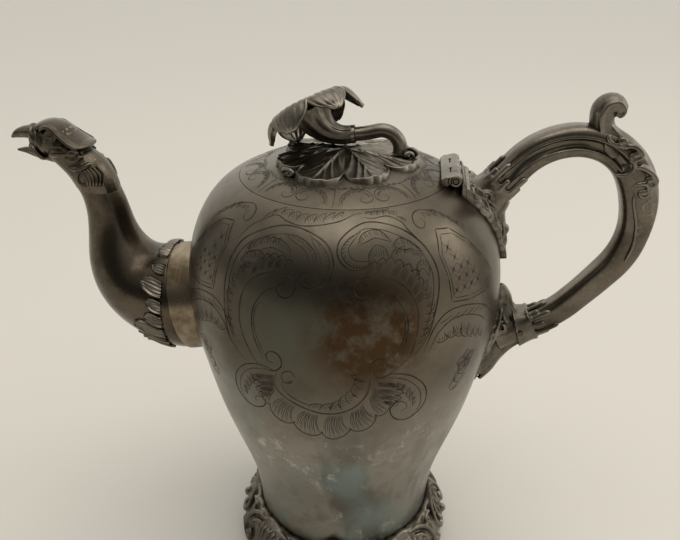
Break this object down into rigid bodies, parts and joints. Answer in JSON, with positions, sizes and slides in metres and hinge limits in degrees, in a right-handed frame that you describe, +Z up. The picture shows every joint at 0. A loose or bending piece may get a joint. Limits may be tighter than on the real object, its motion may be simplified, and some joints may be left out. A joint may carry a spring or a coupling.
{
  "type": "coffee pot",
  "caption": "Engraved baluster coffee pot with a swan-neck bird-head spout, C-scroll handle, cast rococo foot and a hinged domed lid with a flower finial.",
  "frame": {"origin": "centre of the foot's flat underside, on the pot's vertical axis", "axes": "+Z up, +X from the pot's axis towards the handle, -X towards the spout, +Y across the pot to the left of a person who holds the handle and faces the spout"},
  "size_m": [0.2815, 0.1404, 0.2349],
  "materials": {
    "raised_silver": "engraved silver plate, brown-grey tarnish, satin",
    "cast_silver": "cast and chased silver plate, black in the recesses, worn bright on the ridges",
    "worn_collar": "silver plate worn through to yellow base metal, satin",
    "fittings": "tarnished nickel silver"
  },
  "bodies": {
    "pot": {"body_shell": "raised_silver", "body_base": "raised_silver", "mouth_bezel": "raised_silver", "foot_ring": "cast_silver", "spout_border": "cast_silver", "spout_neck": "cast_silver", "spout_head": "cast_silver", "spout_lower_bill": "cast_silver", "handle_grip": "cast_silver", "handle_upper_socket": "cast_silver", "handle_lower_socket": "cast_silver", "thumb_scroll": "cast_silver", "handle_ornament": "cast_silver", "hinge_body_leaf": "cast_silver", "hinge_rib": "cast_silver", "foot_crest_1": "cast_silver", "foot_crest_2": "cast_silver", "foot_crest_3": "cast_silver", "foot_crest_4": "cast_silver", "foot_scroll_1": "cast_silver", "foot_scroll_2": "cast_silver", "foot_scroll_3": "cast_silver", "foot_scroll_4": "cast_silver", "foot_scroll_5": "cast_silver", "foot_scroll_6": "cast_silver", "foot_scroll_7": "cast_silver", "foot_scroll_8": "cast_silver", "spout_collar": "worn_collar", "hinge_pin": "fittings", "handle_pin_upper": "fittings", "handle_pin_lower": "fittings"},
    "lid": {"lid_dome": "raised_silver", "lid_flange": "raised_silver", "hinge_lid_leaf": "cast_silver", "finial_leaf_bed": "cast_silver", "finial_stem": "cast_silver", "finial_stem_ring": "cast_silver", "finial_calyx": "cast_silver", "finial_flower": "cast_silver", "finial_stud": "fittings", "finial_washer": "fittings", "finial_nut": "fittings"}
  },
  "joints": [
    {"name": "lid_hinge", "type": "hinge", "parent": "pot", "child": "lid", "pos_m": [0.0466, 0, 0.2004], "axis": [0, 1, 0], "range_deg": [0, 100]}
  ]
}
